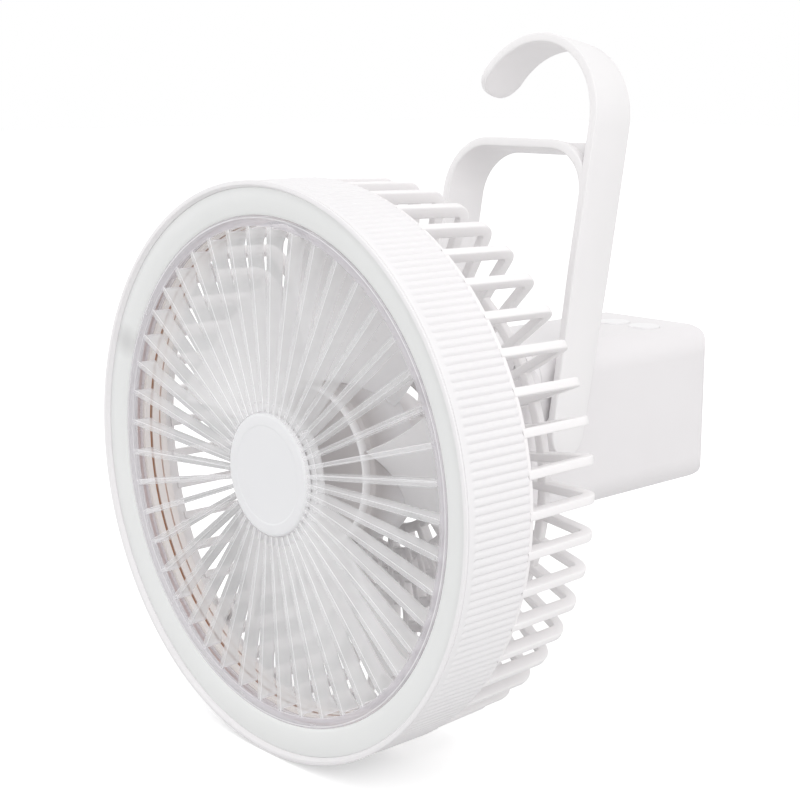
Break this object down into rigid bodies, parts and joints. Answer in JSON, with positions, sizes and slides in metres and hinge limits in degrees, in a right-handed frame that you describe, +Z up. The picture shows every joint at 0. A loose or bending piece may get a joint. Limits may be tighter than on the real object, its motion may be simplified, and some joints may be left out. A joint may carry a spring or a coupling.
{
  "type": "portable camping fan",
  "caption": "Round rechargeable camping fan with a ring light, clear front grille, finned rear cage, battery case, tilting head and a swinging hanging bail with a hook.",
  "frame": {"origin": "centre line of the fan where it meets the flat back face of the battery case", "axes": "+Y out of the case's flat back face, away from the fan's head; +Z up, towards the hook; +X to the right seen from the fan's face"},
  "size_m": [0.2, 0.2058, 0.2498],
  "materials": {
    "white_plastic": "fine satin moulded ABS",
    "milky_plastic": "translucent light diffuser, smooth",
    "clear_plastic": "clear polished polycarbonate",
    "inner_plastic": "plain moulded plastic",
    "blade_plastic": "slightly translucent, glossy",
    "light_board": "white solder mask",
    "light_chip": "yellow phosphor",
    "steel": "zinc plated",
    "dark_washer": "fibre friction washer",
    "motor_steel": "dull steel",
    "magnet": "ferrite",
    "copper_wire": "enamelled copper",
    "circuit_board": "green solder mask",
    "black_plastic": "black moulded plastic",
    "lens_plastic": "clear light guide",
    "cell_sleeve": "shrink sleeve"
  },
  "bodies": {
    "case": {"battery_case": "white_plastic", "case_cover": "white_plastic", "cover_screws": "steel", "battery_cells": "cell_sleeve", "cell_holders": "black_plastic", "main_board": "circuit_board", "usb_port": "steel", "charge_lens": "lens_plastic", "button_board": "circuit_board", "tact_switches": "black_plastic", "tilt_pin": "steel", "tilt_nut": "steel", "tilt_washers": "dark_washer"},
    "head": {"outer_ring": "white_plastic", "light_diffuser": "milky_plastic", "led_board": "light_board", "led_chips": "light_chip", "air_duct": "inner_plastic", "front_grille": "clear_plastic", "hub_cap": "white_plastic", "cage_side": "white_plastic", "rear_cage": "white_plastic", "cage_screws": "steel", "stator_core": "motor_steel", "stator_windings": "copper_wire", "motor_base": "inner_plastic", "motor_bearings": "steel", "motor_board": "circuit_board", "tilt_yoke": "white_plastic", "hub_screws": "steel"},
    "rotor": {"impeller": "blade_plastic", "rotor_cup": "motor_steel", "magnet_ring": "magnet", "motor_shaft": "steel", "shaft_clip": "steel"},
    "bail": {"bail_handle": "white_plastic", "pivot_clips": "steel"},
    "fan_key": {"fan_button": "white_plastic"},
    "light_key": {"light_button": "white_plastic"},
    "timer_key": {"timer_button": "white_plastic"}
  },
  "joints": [
    {"name": "head_tilt", "type": "hinge", "parent": "case", "child": "head", "pos_m": [0, -0.1242, 0], "axis": [1, 0, 0], "range_deg": [-30, 60]},
    {"name": "impeller_spin", "type": "hinge", "parent": "head", "child": "rotor", "pos_m": [0, -0.1742, 0], "axis": [0, 1, 0], "continuous": true},
    {"name": "bail_swing", "type": "hinge", "parent": "case", "child": "bail", "pos_m": [0, -0.0913, 0.0035], "axis": [1, 0, 0], "range_deg": [-190, 34]},
    {"name": "fan_press", "type": "slide", "parent": "case", "child": "fan_key", "axis": [0, 0, -1], "range_m": [0, 0.0008], "stiffness_N_per_m": 500, "springref_m": -0.001},
    {"name": "light_press", "type": "slide", "parent": "case", "child": "light_key", "axis": [0, 0, -1], "range_m": [0, 0.0008], "stiffness_N_per_m": 500, "springref_m": -0.001},
    {"name": "timer_press", "type": "slide", "parent": "case", "child": "timer_key", "axis": [0, 0, -1], "range_m": [0, 0.0008], "stiffness_N_per_m": 500, "springref_m": -0.001}
  ]
}
